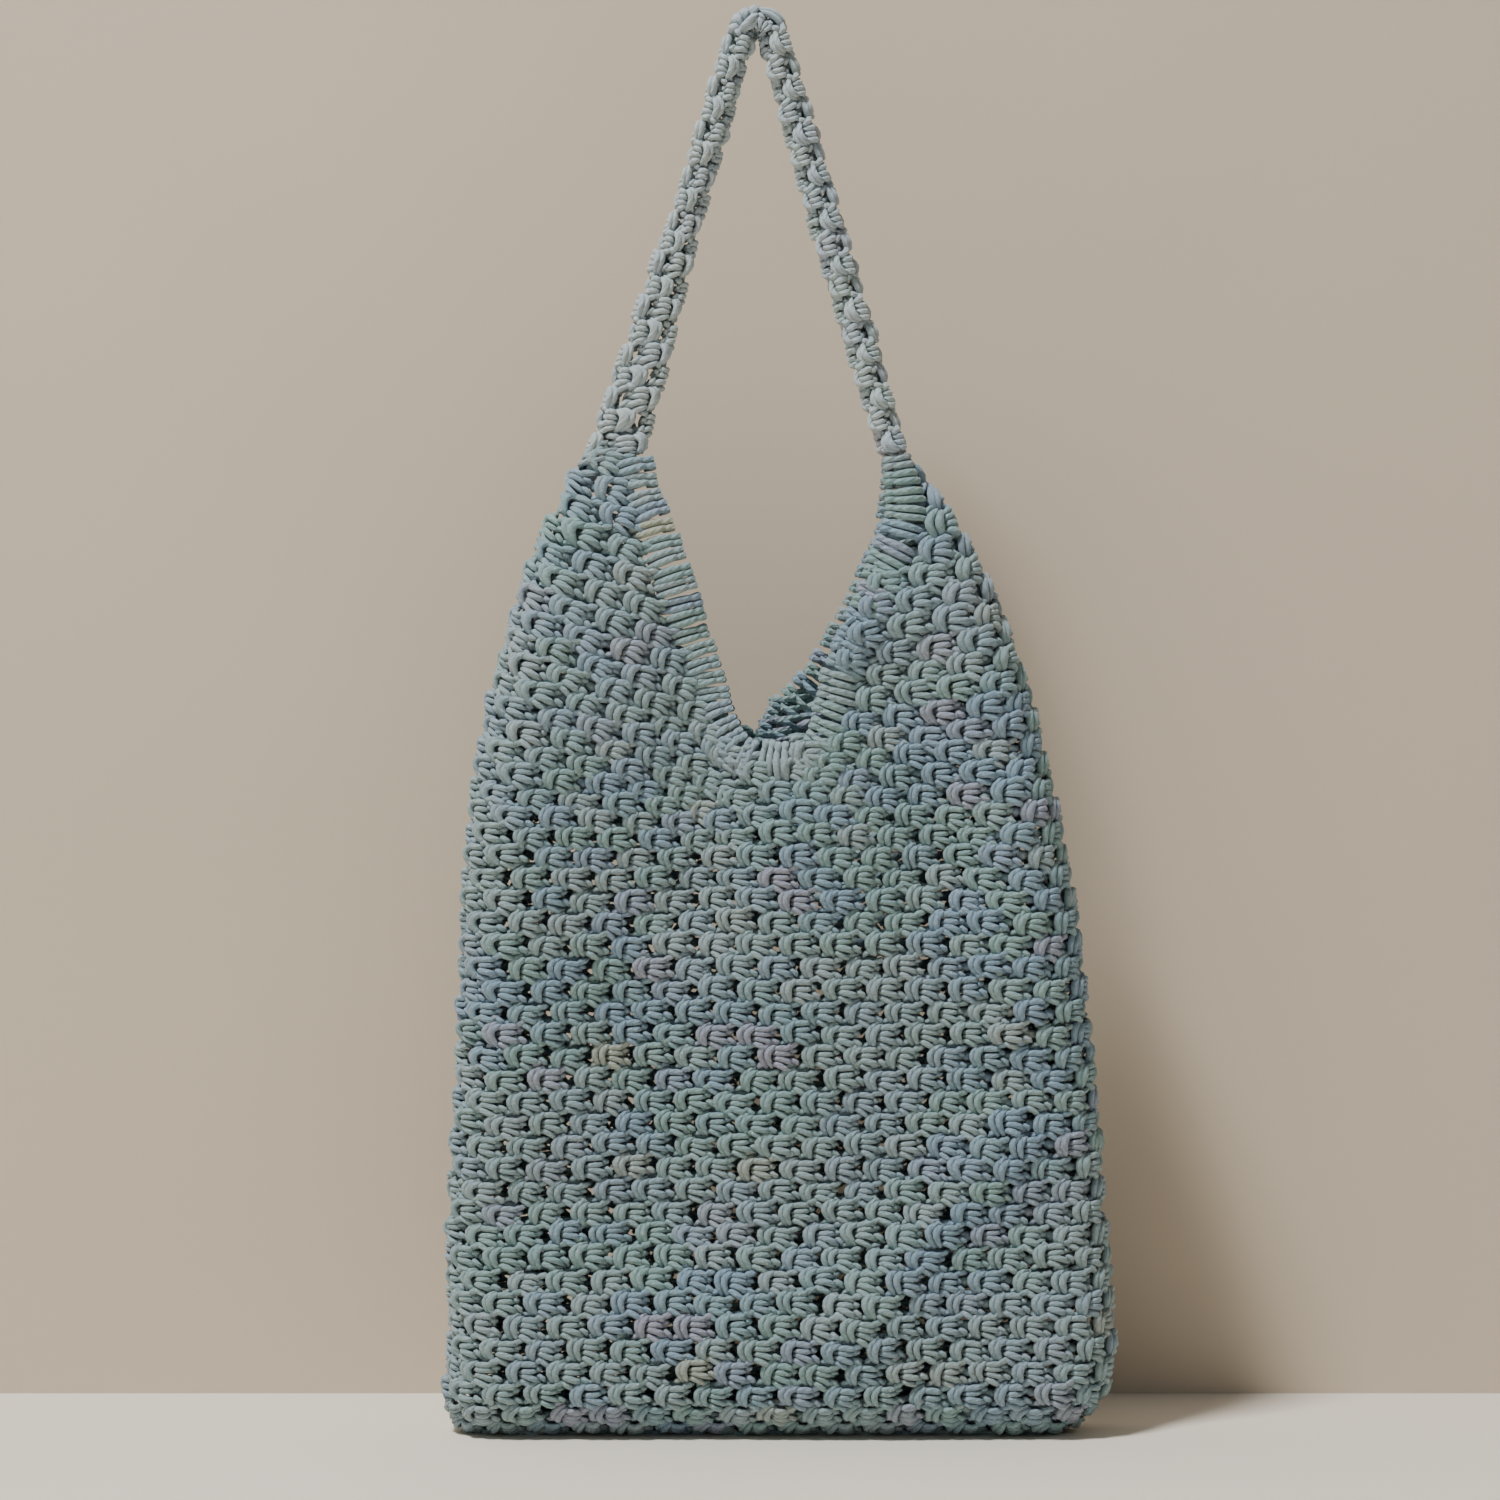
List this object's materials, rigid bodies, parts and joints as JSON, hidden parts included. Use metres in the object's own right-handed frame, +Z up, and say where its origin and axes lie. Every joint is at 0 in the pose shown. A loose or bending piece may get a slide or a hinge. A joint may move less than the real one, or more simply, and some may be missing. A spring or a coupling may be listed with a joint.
{
  "type": "crochet bag",
  "caption": "Soft crochet shoulder bag hanging from its strap, with a deep V neck and a wide rounded pouch.",
  "frame": {"origin": "where the bag hangs: the top of the inside of the strap's bend", "axes": "+Z up along the hanging bag, -Y out of the front, +X to the right as seen from the front"},
  "size_m": [0.3506, 0.0709, 0.747],
  "materials": {
    "pouch_yarn": "soft matt two-ply yarn, grey blue with grey green and lilac parts",
    "strap_yarn": "soft matt two-ply yarn, paler than the pouch"
  },
  "bodies": {
    "root": {"pouch": "pouch_yarn", "strap": "strap_yarn"}
  },
  "joints": []
}
